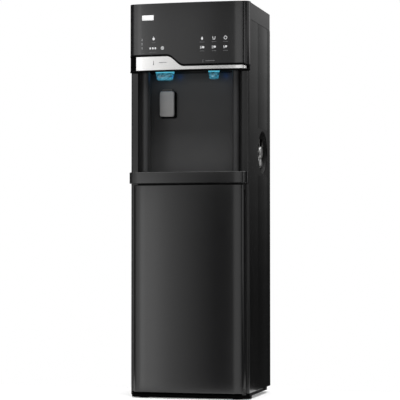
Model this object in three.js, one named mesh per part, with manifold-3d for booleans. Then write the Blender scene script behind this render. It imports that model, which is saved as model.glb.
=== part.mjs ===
// Floor-standing filtered-water dispenser: hot and cold outlets over a cup niche, a lift-out drip tray,
// a hinged filter door below, a side fan that cools a thermoelectric cold tank, and rear services.
// Millimetres, +Z up, front faces -Y, origin at the middle of the footprint on the floor.
import * as THREE from "three";
import { mergeVertices } from "three/addons/utils/BufferGeometryUtils.js";
import Module from "manifold-3d";

const wasm = await Module();
wasm.setup();

// ---- Driving dimensions ----
const HEIGHT = 1050;
const REAR = 150; // rear edge of the side panels
const GAP = 0.3; // clearance between touching pieces
const SHEET = 1.5; // steel sheet

const BODY_HALF = 161.9; // half width of the sheet-metal body
const FLANGE_FACE = -121; // front face of the side panels' flanges
const FLANGE_INNER = 143; // half width between the flanges
const BODY_BOTTOM = 17;
const SEAM = 1004; // top cover's lower edge

const HEAD = { half: 164, face: -141, corner: 13, back: -107 }; // header plan
const HEAD_WALL = 1.8;
const TRIM_BOTTOM = 871.5; // lower edge of the silver trim
const RIM_BOTTOM = 869.5; // lowest edge of the header
const CEILING = 878; // niche ceiling, inside the header's rim
const STEP = { high: 913, low: 885.5, start: -58, end: -11 }; // S-shaped lower edge of the fascia
const BEAD = 4.5; // height of the black bead under the fascia

const NICHE = { back: -44, lipOut: 133, lipIn: 114.5, lipY: -111, side: 126.5, top: 870.5, floor: 572 };
const HOT = { x: -78.5, y: -82, width: 46, depth: 36, bottom: 849.5 };
const COLD = { x: 57, y: -82, radius: 14.6, bottom: 850 };
const LIGHT_BOTTOM = 868; // where the light guides meet the clear nozzle housings

const TRAY = { half: 161.4, face: -154, corner: 10, bottom: 569.5, top: 599.5, back: -48, innerHalf: 112 };
const DOOR = { half: 153.3, face: -138, corner: 8, bottom: 16, top: 566, back: -123.5, wall: 3 };
const HINGE = { x: 148.8, y: -128, radius: 3 };
const BASE = { half: 162.9, face: -129, corner: 14, bottom: 2, front: 12, under: 9, top: 16.7, back: 105.6 };

const PADDLE = { x: -79.3, width: 40.5, bottom: 753, top: 822, face: -62, thickness: 7 };
const PIVOT = { y: -51.5, z: 816, radius: 2 };
const SWITCH = { x: -60, z: 91, lean: 8 };
const FAN = { y: 50, z: 657.5, hole: 57, blade: 53.5, hub: 17, inner: 143.5, outer: 158.5 };

// Colours as sRGB hex, with roughness and metalness.
const FINISH = {
  blackGloss: [0x2b2b2d, 0.32, 0],
  blackSatin: [0x242426, 0.45, 0],
  blackMatt: [0x141415, 0.7, 0],
  paintedSteel: [0x2a2a2c, 0.42, 0.2],
  silver: [0xd4d3d0, 0.3, 0.9],
  paddleGrey: [0x8e8e90, 0.5, 0],
  white: [0xeeeeec, 0.4, 0],
  lightGuide: [0x5fd0f5, 0.25, 0],
  clearBlue: [0x7fc4dc, 0.08, 0],
  steel: [0xb9bbbd, 0.3, 0.9],
  aluminium: [0xc9cacc, 0.4, 0.9],
  rubber: [0x1a1a1a, 0.85, 0],
  board: [0x1d5b38, 0.6, 0],
  foam: [0xdedbd2, 0.9, 0],
  brass: [0xb5924a, 0.35, 0.9],
  tube: [0xe8eef2, 0.35, 0],
  filter: [0xf1f2f3, 0.35, 0],
  blueCap: [0x2f6fb5, 0.4, 0],
  redCap: [0xb33a32, 0.4, 0],
};

// ---- Solids from three.js geometry ----
function solid(geometry) {
  const bare = geometry.index ? geometry.toNonIndexed() : geometry.clone();
  bare.deleteAttribute("normal");
  bare.deleteAttribute("uv");
  const merged = mergeVertices(bare, 1e-3);
  const made = new wasm.Mesh({
    numProp: 3,
    vertProperties: merged.attributes.position.array,
    triVerts: new Uint32Array(merged.index.array),
  });
  return new wasm.Manifold(made);
}

const join = (first, ...rest) => rest.reduce((sum, piece) => sum.add(piece), first);
const cut = (first, ...rest) => rest.reduce((left, piece) => left.subtract(piece), first);

// A box from its low to its high coordinates.
function block([x0, x1], [y0, y1], [z0, z1]) {
  const box = new THREE.BoxGeometry(x1 - x0, y1 - y0, z1 - z0);
  return solid(box.translate((x0 + x1) / 2, (y0 + y1) / 2, (z0 + z1) / 2));
}

// A cylinder along an axis, centred on the two other coordinates, from low to high.
function rod(axis, [a, b], radius, [low, high], sides = 24, endRadius = radius) {
  const bar = new THREE.CylinderGeometry(endRadius, radius, high - low, sides);
  const middle = (low + high) / 2;
  if (axis === "z") return solid(bar.rotateX(Math.PI / 2).translate(a, b, middle));
  if (axis === "y") return solid(bar.translate(a, middle, b));
  return solid(bar.rotateZ(-Math.PI / 2).translate(middle, a, b));
}

// A plan outline, as [x, y] points, raised from low to high.
function raise(points, [low, high]) {
  const shape = new THREE.Shape(points.map(([x, y]) => new THREE.Vector2(x, y)));
  const prism = new THREE.ExtrudeGeometry(shape, { depth: high - low, bevelEnabled: false });
  return solid(prism.translate(0, 0, low));
}

// A front-view outline, as [x, z] points, pushed from y0 to y1.
function push(points, [y0, y1]) {
  const shape = new THREE.Shape(points.map(([x, z]) => new THREE.Vector2(x, z)));
  const prism = new THREE.ExtrudeGeometry(shape, { depth: y1 - y0, bevelEnabled: false });
  return solid(prism.rotateX(Math.PI / 2).translate(0, y1, 0));
}

function arc(cx, cy, radius, from, to, steps) {
  const at = (i) => THREE.MathUtils.degToRad(from + ((to - from) * i) / steps);
  return Array.from({ length: steps + 1 }, (_, i) => [
    cx + radius * Math.cos(at(i)),
    cy + radius * Math.sin(at(i)),
  ]);
}

function roundedRectangle(cx, cy, width, depth, radius, steps = 4) {
  const x = width / 2 - radius;
  const y = depth / 2 - radius;
  return [
    ...arc(cx + x, cy + y, radius, 0, 90, steps),
    ...arc(cx - x, cy + y, radius, 90, 180, steps),
    ...arc(cx - x, cy - y, radius, 180, 270, steps),
    ...arc(cx + x, cy - y, radius, 270, 360, steps),
  ];
}

// The plan of every front piece: a crowned face, tighter shoulders, then rounded corners,
// all tangent to each other, closed by a straight back. inset shrinks it by a wall's thickness.
const CROWN_RADIUS = 2000;
const SHOULDER = 26;
const SHOULDER_END = THREE.MathUtils.degToRad(10);
function frontPlan({ half, face, corner }, back, inset = 0) {
  const crownEnd = Math.asin((half - corner - SHOULDER) / CROWN_RADIUS);
  const shoulderRadius = SHOULDER / (Math.sin(SHOULDER_END) - Math.sin(crownEnd));
  const cornerRadius = corner / (1 - Math.sin(SHOULDER_END));
  const runs = [
    [CROWN_RADIUS, 0, crownEnd, 4],
    [shoulderRadius, crownEnd, SHOULDER_END, 2],
    [cornerRadius, SHOULDER_END, Math.PI / 2, 5],
  ];
  const right = [[0, face + inset]];
  let cx = 0;
  let cy = face;
  for (const [radius, from, to, steps] of runs) {
    const ox = cx - radius * Math.sin(from);
    const oy = cy + radius * Math.cos(from);
    for (let i = 1; i <= steps; i++) {
      const a = from + ((to - from) * i) / steps;
      right.push([ox + (radius - inset) * Math.sin(a), oy - (radius - inset) * Math.cos(a)]);
    }
    cx = ox + radius * Math.sin(to);
    cy = oy - radius * Math.cos(to);
  }
  const kept = right.filter(([, y]) => y < back - 0.5);
  const edge = kept.length < right.length ? Math.min(half - inset, right[kept.length][0]) : half - inset;
  const run = [...kept, [edge, back]];
  const left = run.slice(1).reverse().map(([x, y]) => [-x, y]);
  return [...left, ...run];
}

// ---- Meshes ----
const dispenser = new THREE.Group();
function add(name, piece, finish) {
  const { numProp, numVert, vertProperties, triVerts } = piece.getMesh();
  const position = new Float32Array(numVert * 3);
  for (let i = 0; i < numVert; i++) {
    position.set(vertProperties.subarray(i * numProp, i * numProp + 3), i * 3);
  }
  const geometry = new THREE.BufferGeometry();
  geometry.setAttribute("position", new THREE.BufferAttribute(position, 3));
  geometry.setIndex(new THREE.BufferAttribute(triVerts, 1));
  geometry.computeVertexNormals();
  const [color, roughness, metalness] = FINISH[finish];
  const mesh = new THREE.Mesh(geometry, new THREE.MeshStandardMaterial({ color, roughness, metalness }));
  mesh.name = name;
  dispenser.add(mesh);
}

// ---- Base and feet ----
function base() {
  const slab = raise(
    [[-BODY_HALF, -119], [BODY_HALF, -119], [BODY_HALF, BASE.back], [-BODY_HALF, BASE.back]],
    [BASE.under, BASE.top],
  );
  const plinth = raise(frontPlan(BASE, -95), [BASE.bottom, BASE.front]);
  const pocket = block([-140, 140], [-92, 92], [12, BASE.top + 1]);
  add("base_tray", cut(join(slab, plinth), pocket), "blackMatt");
  const spots = { front: [-108, BASE.bottom], rear: [88, BASE.under] };
  for (const [end, [y, under]] of Object.entries(spots)) {
    for (const [side, x] of [["left", -128], ["right", 128]]) {
      add(`foot_${end}_${side}`, rod("z", [x, y], 13, [0, under - GAP], 20, 15), "rubber");
    }
  }
}

// ---- Sheet-metal body ----
function sidePanel(sign) {
  const radius = 4;
  const outer = arc(BODY_HALF - radius, FLANGE_FACE + radius, radius, 0, -90, 4);
  const inner = arc(BODY_HALF - radius, FLANGE_FACE + radius, radius - SHEET, -90, 0, 4);
  const right = [
    [BODY_HALF, REAR],
    ...outer,
    [FLANGE_INNER, FLANGE_FACE],
    [FLANGE_INNER, FLANGE_FACE + SHEET],
    ...inner,
    [BODY_HALF - SHEET, REAR],
  ];
  const outline = right.map(([x, y]) => [sign * x, y]);
  return raise(outline, [BODY_BOTTOM, SEAM - GAP]);
}

function rearPanel() {
  const half = BODY_HALF - SHEET - GAP;
  const faces = [REAR - 2.5, REAR - 2.5 + SHEET];
  const through = [REAR - 5, REAR + 2];
  const vents = Array.from({ length: 7 }, (_, i) => {
    const z = 640 + 18 * i;
    return block([-70, 70], through, [z, z + 6]);
  });
  const services = [
    block([-121, -91], through, [79, 106]), // mains inlet
    block([SWITCH.x - 8, SWITCH.x + 8], through, [SWITCH.z - 12, SWITCH.z + 12]),
    rod("y", [70, 92], 9, through, 20), // water inlet
    rod("y", [40, 220], 13, through, 20), // drains
    rod("y", [90, 220], 13, through, 20),
  ];
  return cut(block([-half, half], faces, [BODY_BOTTOM, SEAM - GAP]), ...vents, ...services);
}

function topCover() {
  const half = BODY_HALF + 0.4;
  const inner = half - HEAD_WALL;
  const back = HEAD.back + GAP;
  const shell = cut(
    block([-half, half], [back, REAR], [SEAM, HEIGHT]),
    block([-inner, inner], [back - 1, REAR - HEAD_WALL], [SEAM - 1, HEIGHT - HEAD_WALL]),
  );
  const nose = raise(frontPlan(HEAD, back + 1, HEAD_WALL + GAP), [HEIGHT - HEAD_WALL, HEIGHT]);
  return join(shell, nose);
}

function rearCover() {
  const faces = [REAR - 1 + GAP, REAR + 4];
  const slots = Array.from({ length: 4 }, (_, i) => {
    const z = 930 + 14 * i;
    return block([-110, 110], [REAR - 2, REAR + 5], [z, z + 5]);
  });
  return cut(block([-158.5, 158.5], faces, [914, 998]), ...slots);
}

function body() {
  const fanHole = rod("x", [FAN.y, FAN.z], FAN.hole, [BODY_HALF - 4, BODY_HALF + 2], 48);
  add("side_panel_left", sidePanel(-1), "paintedSteel");
  add("side_panel_right", cut(sidePanel(1), fanHole), "paintedSteel");
  add("rear_panel", rearPanel(), "paintedSteel");
  add("upper_rear_cover", rearCover(), "blackMatt");
  add("top_cover", topCover(), "blackSatin");
  const half = BODY_HALF - SHEET - GAP;
  const deck = cut(
    block([-half, half], [FLANGE_FACE + 5, 140], [563, TRAY.bottom - GAP]),
    block([-90, 90], [20, 120], [560, 572]),
  );
  add("mid_deck", deck, "blackMatt");
}

// ---- Header ----
// Height of the fascia's lower edge at x: level, an S, then level again.
function stepHeight(x) {
  const t = THREE.MathUtils.clamp((x - STEP.start) / (STEP.end - STEP.start), 0, 1);
  return STEP.high - ((STEP.high - STEP.low) * (1 - Math.cos(Math.PI * t))) / 2;
}

// Everything in front view above the S edge lowered by drop.
function aboveStep(drop) {
  const steps = 10;
  const reach = 170;
  const bend = Array.from({ length: steps + 1 }, (_, i) => {
    const x = STEP.start + ((STEP.end - STEP.start) * i) / steps;
    return [x, stepHeight(x) - drop];
  });
  const start = [-reach, STEP.high - drop];
  const end = [reach, STEP.low - drop];
  return push([start, ...bend, end, [reach, HEIGHT + 1], [-reach, HEIGHT + 1]], [-160, 0]);
}

function headShell(inset, wall, back, heights) {
  const outer = raise(frontPlan(HEAD, back, inset), heights);
  const inner = raise(frontPlan(HEAD, back + 1, inset + wall), [heights[0] - 1, heights[1] + 1]);
  return cut(outer, inner);
}

function header() {
  const tall = [RIM_BOTTOM - 5, HEIGHT];
  add("header_fascia", headShell(0, HEAD_WALL, HEAD.back, tall).intersect(aboveStep(0)), "blackGloss");
  const bead = cut(aboveStep(BEAD), aboveStep(GAP));
  add("trim_bead", headShell(-0.5, 3, -122, tall).intersect(bead), "blackSatin");
  const band = cut(headShell(1.8, 2, -122, [TRIM_BOTTOM, 930]), aboveStep(BEAD + GAP));
  add("silver_trim", band, "silver");
  // An inverted tray: a rim that shows under the trim, and the ceiling plate that carries the outlets.
  const rim = headShell(0, 6, -122, [RIM_BOTTOM, TRIM_BOTTOM - GAP]);
  const skirt = headShell(4.5, 2.5, -122, [RIM_BOTTOM, CEILING + 2.5]);
  const plate = raise(frontPlan(HEAD, -122, 4.5), [CEILING, CEILING + 2.5]);
  const rearPlate = block([-128, 128], [-123, NICHE.back], [CEILING, CEILING + 2.5]);
  const rearSkirt = block([-128, 128], [NICHE.back - 2.5, NICHE.back], [NICHE.top + 1, CEILING + 1]);
  const hotBore = rod("z", [HOT.x, HOT.y], 8, [860, 890], 20);
  const coldBore = rod("z", [COLD.x, COLD.y], 6, [860, 890], 20);
  const carrier = join(rim, skirt, plate, rearPlate, rearSkirt);
  add("header_ceiling", cut(carrier, hotBore, coldBore), "blackMatt");
  add("touch_board", block([-120, 120], [-131, -129.4], [922, 966]), "board");
  const tile = push([[-127, 1005], [-94.5, 1005], [-94.5, 1018.5], [-127, 1018.5]], [-142, -130]);
  const proud = raise(frontPlan(HEAD, -125, -0.9), [1000, 1030]);
  const seat = raise(frontPlan(HEAD, -124, -GAP), [999, 1031]);
  add("name_plate", cut(tile.intersect(proud), seat), "white");
}

// ---- Outlets ----
function outlets() {
  const guide = [LIGHT_BOTTOM, CEILING - GAP];
  const bore = rod("z", [HOT.x, HOT.y], 8, [840, 890], 20);
  const coldBore = rod("z", [COLD.x, COLD.y], 6, [840, 890], 20);
  const hotPlan = (shrink) => roundedRectangle(HOT.x, HOT.y, HOT.width - shrink, HOT.depth - shrink, 9);
  add("hot_light_guide", cut(raise(hotPlan(0), guide), bore), "lightGuide");
  const upper = raise(hotPlan(1), [HOT.bottom + 9, LIGHT_BOTTOM - GAP]);
  const lower = raise(hotPlan(7), [HOT.bottom, HOT.bottom + 9]);
  add("hot_outlet_housing", cut(join(upper, lower), bore), "clearBlue");
  const coldPlan = [COLD.x, COLD.y];
  add("cold_light_guide", cut(rod("z", coldPlan, COLD.radius, guide, 28), coldBore), "lightGuide");
  const cup = rod("z", coldPlan, COLD.radius - 3, [COLD.bottom, LIGHT_BOTTOM - GAP], 28, COLD.radius);
  add("cold_outlet_housing", cut(cup, coldBore), "clearBlue");
  const spout = (at, radius, bottom) =>
    cut(rod("z", at, radius, [bottom, 884], 20), rod("z", at, radius - 1.6, [bottom - 1, 885], 16));
  add("hot_spout", spout([HOT.x, HOT.y], 7.6, HOT.bottom + 1), "steel");
  add("cold_spout", spout([COLD.x, COLD.y], 5.6, COLD.bottom + 1), "steel");
}

// ---- Niche ----
// A wall of even thickness along a plan path; the path is the face seen from the niche.
function wall(path, thickness, heights) {
  const normals = path.map((point, i) => {
    const [ax, ay] = path[Math.max(i - 1, 0)];
    const [bx, by] = path[Math.min(i + 1, path.length - 1)];
    const length = Math.hypot(bx - ax, by - ay);
    return [-(by - ay) / length, (bx - ax) / length];
  });
  const back = path.map(([x, y], i) => [x + normals[i][0] * thickness, y + normals[i][1] * thickness]);
  return raise([...path, ...back.reverse()], heights);
}

function nicheLiner() {
  const lipRadius = (NICHE.lipOut - NICHE.lipIn) / 2;
  const lipX = NICHE.lipIn + lipRadius;
  const cove = 1.5;
  const left = [
    [-BODY_HALF + 5, -100],
    [-NICHE.lipOut - 1, -100],
    [-NICHE.lipOut, -101.5],
    ...arc(-lipX, NICHE.lipY, lipRadius, 180, 360, 8),
    ...arc(-NICHE.side + cove, NICHE.back - cove, cove, 180, 90, 5),
  ];
  const right = left.map(([x, y]) => [-x, y]).reverse();
  const shell = wall([...left, ...right], 2, [NICHE.floor, NICHE.top]);
  const window = block([-88, -70.6], [-50, -35], [770, 826]);
  return cut(shell, window);
}

function paddle() {
  // Pad on an arm that turns on a pin behind the niche's back wall window.
  const tall = PADDLE.top - PADDLE.bottom;
  const outline = roundedRectangle(PADDLE.x, PADDLE.bottom + tall / 2, PADDLE.width, tall, 6);
  const pad = push(outline, [PADDLE.face, PADDLE.face + PADDLE.thickness]);
  add("paddle_pad", pad, "paddleGrey");
  const arm = join(
    block([PADDLE.x - 7, PADDLE.x + 7], [PADDLE.face + PADDLE.thickness + GAP, -50], [776, 806]),
    block([PADDLE.x - 7, PADDLE.x + 7], [-51, -31], [776, 784]),
    rod("x", [PIVOT.y, PIVOT.z], 3.2, [PADDLE.x - 7, PADDLE.x + 7], 20),
    block([PADDLE.x - 7, PADDLE.x + 7], [PIVOT.y - 2.5, PIVOT.y + 2.5], [800, PIVOT.z]),
  );
  const bore = rod("x", [PIVOT.y, PIVOT.z], PIVOT.radius + 0.25, [PADDLE.x - 20, PADDLE.x + 20], 20);
  add("paddle_arm", cut(arm, bore), "blackSatin");
  const pin = rod("x", [PIVOT.y, PIVOT.z], PIVOT.radius, [PADDLE.x - 14, PADDLE.x + 14], 16);
  add("paddle_pin", pin, "steel");
  const clevis = cut(
    block([PADDLE.x - 14, PADDLE.x + 14], [NICHE.back - 10.5, NICHE.back - GAP], [806, 828]),
    block([PADDLE.x - 11.3, PADDLE.x + 11.3], [NICHE.back - 15, NICHE.back + 1], [805, 824]),
    bore,
  );
  add("paddle_bracket", clevis, "blackSatin");
  const micro = join(
    block([PADDLE.x - 10, PADDLE.x + 10], [-22, -12], [770, 792]),
    rod("y", [PADDLE.x, 780], 2, [-25.5, -22], 12),
  );
  add("paddle_microswitch", micro, "blackMatt");
}

// ---- Drip tray ----
function dripTray() {
  const deep = -124;
  const inner = TRAY.innerHalf;
  const floor = 3;
  const band = raise(frontPlan(TRAY, deep), [TRAY.bottom, TRAY.top]);
  const tongue = block([-inner, inner], [deep - 1, TRAY.back], [TRAY.bottom, TRAY.top - 2]);
  const depth = [TRAY.bottom + floor, TRAY.top + 1];
  const bandWell = raise(frontPlan(TRAY, deep - 3, 4), depth);
  const tongueWell = block([3 - inner, inner - 3], [deep - 5, TRAY.back - 3], depth);
  const ledge = [];
  for (const x of [-inner + 3, inner - 9]) {
    ledge.push(block([x, x + 6], [deep + 1, TRAY.back - 2], [TRAY.bottom + 1, 591]));
  }
  add("drip_tray", join(cut(join(band, tongue), bandWell, tongueWell), ...ledge), "blackSatin");
  // The grille rests on the ledges and fills the tray's mouth.
  const grilleFront = raise(frontPlan(TRAY, deep - 3.5, 4.8), [591 + GAP, 594.5]);
  const grilleTongue = block([3.6 - inner, inner - 3.6], [deep - 4, TRAY.back - 3.6], [591 + GAP, 594.5]);
  const slots = Array.from({ length: 17 }, (_, i) => {
    const x = -96 + 12 * i;
    return block([x - 2.2, x + 2.2], [-142, -60], [590, 596]);
  });
  add("drip_grille", cut(join(grilleFront, grilleTongue), ...slots), "blackMatt");
}

// ---- Door ----
function door() {
  const { bottom, top, back, wall: thick } = DOOR;
  const shell = cut(
    raise(frontPlan(DOOR, back), [bottom, top]),
    raise(frontPlan(DOOR, back + 1, thick), [bottom + thick, top - thick]),
    rod("z", [HINGE.x, HINGE.y], HINGE.radius + 0.25, [bottom - 1, top + 1], 20),
  );
  add("door_panel", shell, "blackSatin");
  const inset = 144;
  const liner = cut(
    block([-inset, inset - 8], [back - 2.2, back - 0.2], [bottom + thick + GAP, top - thick - GAP]),
    block([-136, -122], [back - 5, back + 1], [540, 558]),
  );
  add("door_liner", liner, "blackMatt");
  add("door_strike", block([-135.7, -122.3], [back - 2.2, back + 0.6], [540.4, 557.6]), "steel");
  add("door_catch", block([-138, -120], [-121.4, -108], [538, 562.6]), "blackMatt");
  const plate = roundedRectangle(HINGE.x, HINGE.y + 1, 10.5, 11, 3);
  const reach = block([HINGE.x - 4, HINGE.x + 4], [HINGE.y, FLANGE_FACE - GAP], [0, 2.2]);
  const leaf = (z) => join(raise(plate, [z, z + 2.2]), reach.translate([0, 0, z]));
  const pin = (heights) => rod("z", [HINGE.x, HINGE.y], HINGE.radius, heights, 20);
  add("door_hinge_upper", join(leaf(566.8), pin([552, 567.5])), "steel");
  add("door_hinge_lower", join(leaf(13.2), pin([14.5, 30])), "steel");
}

// ---- Fan and cooler ----
function fan() {
  const at = [FAN.y, FAN.z];
  const skin = BODY_HALF - SHEET - GAP;
  const flange = block([skin - 3, skin], [FAN.y - 64, FAN.y + 64], [FAN.z - 64, FAN.z + 64]);
  const duct = rod("x", at, 61, [126, skin], 40);
  const bore = rod("x", at, 57.5, [125, skin + 1], 40);
  const ring = cut(join(flange, duct), bore);
  const disc = rod("x", at, 19, [126, 129], 24);
  const struts = [0, 120, 240].map((turn) =>
    solid(
      new THREE.BoxGeometry(3, 44, 6)
        .translate(0, 38, 0)
        .rotateX(THREE.MathUtils.degToRad(turn + 90))
        .translate(127.5, FAN.y, FAN.z),
    ),
  );
  const frame = cut(join(ring, disc, ...struts), rod("x", at, 3.2, [120, 135], 16));
  add("fan_shroud", frame, "blackMatt");
  const can = rod("x", at, 17, [104, 126 - GAP], 24);
  const shaft = rod("x", at, 2.5, [120, FAN.outer - 2], 16);
  add("fan_motor", join(can, shaft), "steel");
  const blades = Array.from({ length: 5 }, (_, i) =>
    solid(
      new THREE.BoxGeometry(1.8, 42, 34)
        .rotateY(THREE.MathUtils.degToRad(38))
        .translate(0, 34, 0)
        .rotateX(THREE.MathUtils.degToRad(72 * i + 12))
        .translate((FAN.inner + FAN.outer) / 2, FAN.y, FAN.z),
    ),
  );
  const sweep = rod("x", at, FAN.blade, [FAN.inner - 2, FAN.outer], 40);
  const trimmed = blades.map((blade) => blade.intersect(sweep));
  const hub = rod("x", at, FAN.hub, [FAN.inner - 1, FAN.outer], 28);
  const socket = rod("x", at, 2.6, [120, FAN.outer - 1.5], 16);
  add("fan_rotor", cut(join(hub, ...trimmed), socket), "aluminium");
}

function cooler() {
  const tank = rod("z", [-52, 52], 66, [585, 842], 32);
  add("cold_tank", join(tank, block([6, 18], [22, 82], [628, 688])), "foam");
  add("thermoelectric_module", block([18 + GAP, 23], [30, 74], [636, 680]), "white");
  const fins = Array.from({ length: 9 }, (_, i) => {
    const y = FAN.y - 40 + 10 * i;
    return block([28, 92], [y - 1, y + 1], [612, 703]);
  });
  const sink = join(block([23 + GAP, 29], [FAN.y - 44, FAN.y + 44], [610, 705]), ...fins);
  add("heat_sink", sink, "aluminium");
}

// ---- Water path and electrics ----
function tube(points, radius, steps) {
  const curve = new THREE.CatmullRomCurve3(points.map((p) => new THREE.Vector3(...p)));
  const section = new THREE.Shape(arc(0, 0, radius, 0, 315, 7).map(([x, y]) => new THREE.Vector2(x, y)));
  return solid(new THREE.ExtrudeGeometry(section, { steps, extrudePath: curve, bevelEnabled: false }));
}

function water() {
  const tank = join(
    rod("z", [-80, 78], 58, [330, 520], 32),
    rod("z", [-80, 78], 12, [515, 540], 20),
    rod("y", [-80, 362], 10, [125, 142], 16),
  );
  add("hot_tank", tank, "steel");
  const valve = (x) =>
    join(block([x - 14, x + 14], [-34, -12], [886, 912]), rod("z", [x, -23], 11, [910, 940], 20));
  add("hot_valve", valve(HOT.x), "blackMatt");
  add("cold_valve", valve(COLD.x), "blackMatt");
  const lead = (x, y) => [[x, y, 884 + GAP], [x, y, 900], [x, y + 12, 908], [x, -48, 906], [x, -36, 900]];
  add("hot_hose", tube(lead(HOT.x, HOT.y), 4.5, 16), "tube");
  add("cold_hose", tube(lead(COLD.x, COLD.y), 4.5, 16), "tube");
  const bracket = join(
    block([-126, 126], [-104, -40], [520, 524]),
    block([-126, 126], [-42, -38], [440, 524]),
    block([-126, -120], [-104, -40], [522, 563 - GAP]),
    block([120, 126], [-104, -40], [522, 563 - GAP]),
  );
  add("filter_bracket", bracket, "steel");
  for (const [i, x] of [-80, 0, 80].entries()) {
    const body = join(
      rod("z", [x, -74], 29, [262, 500], 28),
      rod("z", [x, -74], 12, [498, 520 - GAP], 20),
      rod("z", [x, -74], 20, [248, 263], 20, 29),
      block([x - 22, x + 22], [-76, -72], [238, 252]),
    );
    add(`filter_cartridge_${i + 1}`, body, "filter");
  }
  const pump = join(
    block([20, 90], [10, 70], [17, 28]),
    rod("x", [40, 55], 30, [10, 60], 24),
    block([58, 96], [14, 66], [30, 80]),
  );
  add("water_pump", pump, "blackMatt");
  add("power_board", block([-130, -20], [-30, 50], [20, 22]), "board");
}

function services() {
  const rear = REAR - 1; // outer face of the rear panel
  const socket = join(
    block([-125, -87], [rear + GAP, rear + 3], [76, 109]),
    block([-120, -92], [rear - 26, rear + 1], [80, 105]),
  );
  const inlet = cut(socket, block([-118, -94], [rear - 18, rear + 4], [83, 102]));
  add("mains_inlet", inlet, "blackMatt");
  const { x, z, lean } = SWITCH;
  const frame = cut(
    join(
      block([x - 10, x + 10], [rear + GAP, rear + 2], [z - 15, z + 15]),
      block([x - 7.7, x + 7.7], [rear - 14, rear + 1], [z - 11.7, z + 11.7]),
    ),
    block([x - 6, x + 6], [rear - 9, rear + 4], [z - 10, z + 10]),
  );
  add("main_switch_frame", frame, "blackMatt");
  const rocker = new THREE.BoxGeometry(11.2, 6, 17.6).rotateX(THREE.MathUtils.degToRad(lean));
  add("main_switch_rocker", solid(rocker.translate(x, rear - 1.4, z)), "redCap");
  const at = [70, 92];
  const nut = rod("y", at, 12, [rear + GAP, rear + 2.5], 6);
  const pipe = rod("y", at, 8.6, [rear - 24, rear + 4.6], 24);
  const fitting = cut(join(nut, pipe), rod("y", at, 3.2, [rear - 30, rear + 8], 16));
  add("water_inlet", fitting, "white");
  for (const [name, x, finish] of [["cold", 40, "blueCap"], ["hot", 90, "redCap"]]) {
    const knurled = join(
      rod("y", [x, 220], 11.5, [rear - 10, rear + 4.8], 12),
      rod("y", [x, 220], 5, [rear - 20, rear - 9], 16),
    );
    add(`${name}_drain_cap`, knurled, finish);
  }
}

base();
body();
header();
outlets();
add("niche_liner", nicheLiner(), "blackSatin");
paddle();
dripTray();
door();
fan();
cooler();
water();
services();

export default dispenser;
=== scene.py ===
"""Looks of the floor-standing water dispenser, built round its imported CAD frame."""

import math

import bmesh
import bpy
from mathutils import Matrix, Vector


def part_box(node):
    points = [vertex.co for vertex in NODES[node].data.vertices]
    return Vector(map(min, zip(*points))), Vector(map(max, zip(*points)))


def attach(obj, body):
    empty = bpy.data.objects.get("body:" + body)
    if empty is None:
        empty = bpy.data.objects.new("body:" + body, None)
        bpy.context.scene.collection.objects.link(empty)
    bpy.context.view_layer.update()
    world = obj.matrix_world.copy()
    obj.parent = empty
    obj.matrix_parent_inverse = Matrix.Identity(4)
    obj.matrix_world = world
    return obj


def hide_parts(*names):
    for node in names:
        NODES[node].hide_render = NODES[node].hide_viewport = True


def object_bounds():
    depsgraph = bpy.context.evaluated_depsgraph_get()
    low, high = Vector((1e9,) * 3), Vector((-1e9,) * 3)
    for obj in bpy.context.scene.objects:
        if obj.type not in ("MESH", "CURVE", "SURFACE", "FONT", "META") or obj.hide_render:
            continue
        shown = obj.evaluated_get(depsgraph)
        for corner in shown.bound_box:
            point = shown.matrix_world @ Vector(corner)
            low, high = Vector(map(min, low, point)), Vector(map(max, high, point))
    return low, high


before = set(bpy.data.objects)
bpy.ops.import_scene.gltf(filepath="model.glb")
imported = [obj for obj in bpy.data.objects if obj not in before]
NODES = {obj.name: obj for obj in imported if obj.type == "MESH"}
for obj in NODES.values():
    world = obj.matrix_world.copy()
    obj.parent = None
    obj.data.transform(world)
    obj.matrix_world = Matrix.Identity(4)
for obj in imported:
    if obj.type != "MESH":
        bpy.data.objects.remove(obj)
CAD_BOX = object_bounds()
MM = 0.001


# ---- Dimensions read from the frame, in millimetres ----
def box_mm(node):
    low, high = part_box(node)
    return low / MM, high / MM


HEIGHT = (Vector(CAD_BOX[1]) / MM).z
FASCIA_LOW, FASCIA_HIGH = box_mm("header_fascia")
TRIM_LOW = box_mm("silver_trim")[0]
BEAD_HIGH = box_mm("trim_bead")[1]
TRAY_LOW, TRAY_HIGH = box_mm("drip_tray")
DOOR_LOW, DOOR_HIGH = box_mm("door_panel")
BASE_LOW, BASE_HIGH = box_mm("base_tray")
COVER_LOW, COVER_HIGH = box_mm("top_cover")
LINER_LOW, LINER_HIGH = box_mm("niche_liner")
PAD_LOW, PAD_HIGH = box_mm("paddle_pad")
SIDE_LOW, SIDE_HIGH = box_mm("side_panel_right")
PLATE_LOW, PLATE_HIGH = box_mm("name_plate")
ROTOR_LOW, ROTOR_HIGH = box_mm("fan_rotor")
REAR_HIGH = box_mm("rear_panel")[1]
REAR_COVER_LOW, REAR_COVER_HIGH = box_mm("upper_rear_cover")

GAP = 0.3  # between neighbouring pieces
FASCIA_WALL = 1.8
LINER_WALL = 2

# The S-shaped lower edge of the fascia, which also dips round the right corner.
STEP_HIGH = BEAD_HIGH.z + GAP
STEP_LOW = FASCIA_LOW.z
STEP_START = -58
STEP_END = -11
DIP_START = 148
DIP_LENGTH = 13
CORNER_DIP = 4
BEAD = 4.5  # height of the black bead under the edge

HEAD = {"half": FASCIA_HIGH.x, "face": FASCIA_LOW.y, "corner": 13}
TRAY = {"half": TRAY_HIGH.x, "face": TRAY_LOW.y, "corner": 10}
DOOR = {"half": DOOR_HIGH.x, "face": DOOR_LOW.y, "corner": 8}
BASE = {"half": BASE_HIGH.x, "face": BASE_LOW.y, "corner": 14}


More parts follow.
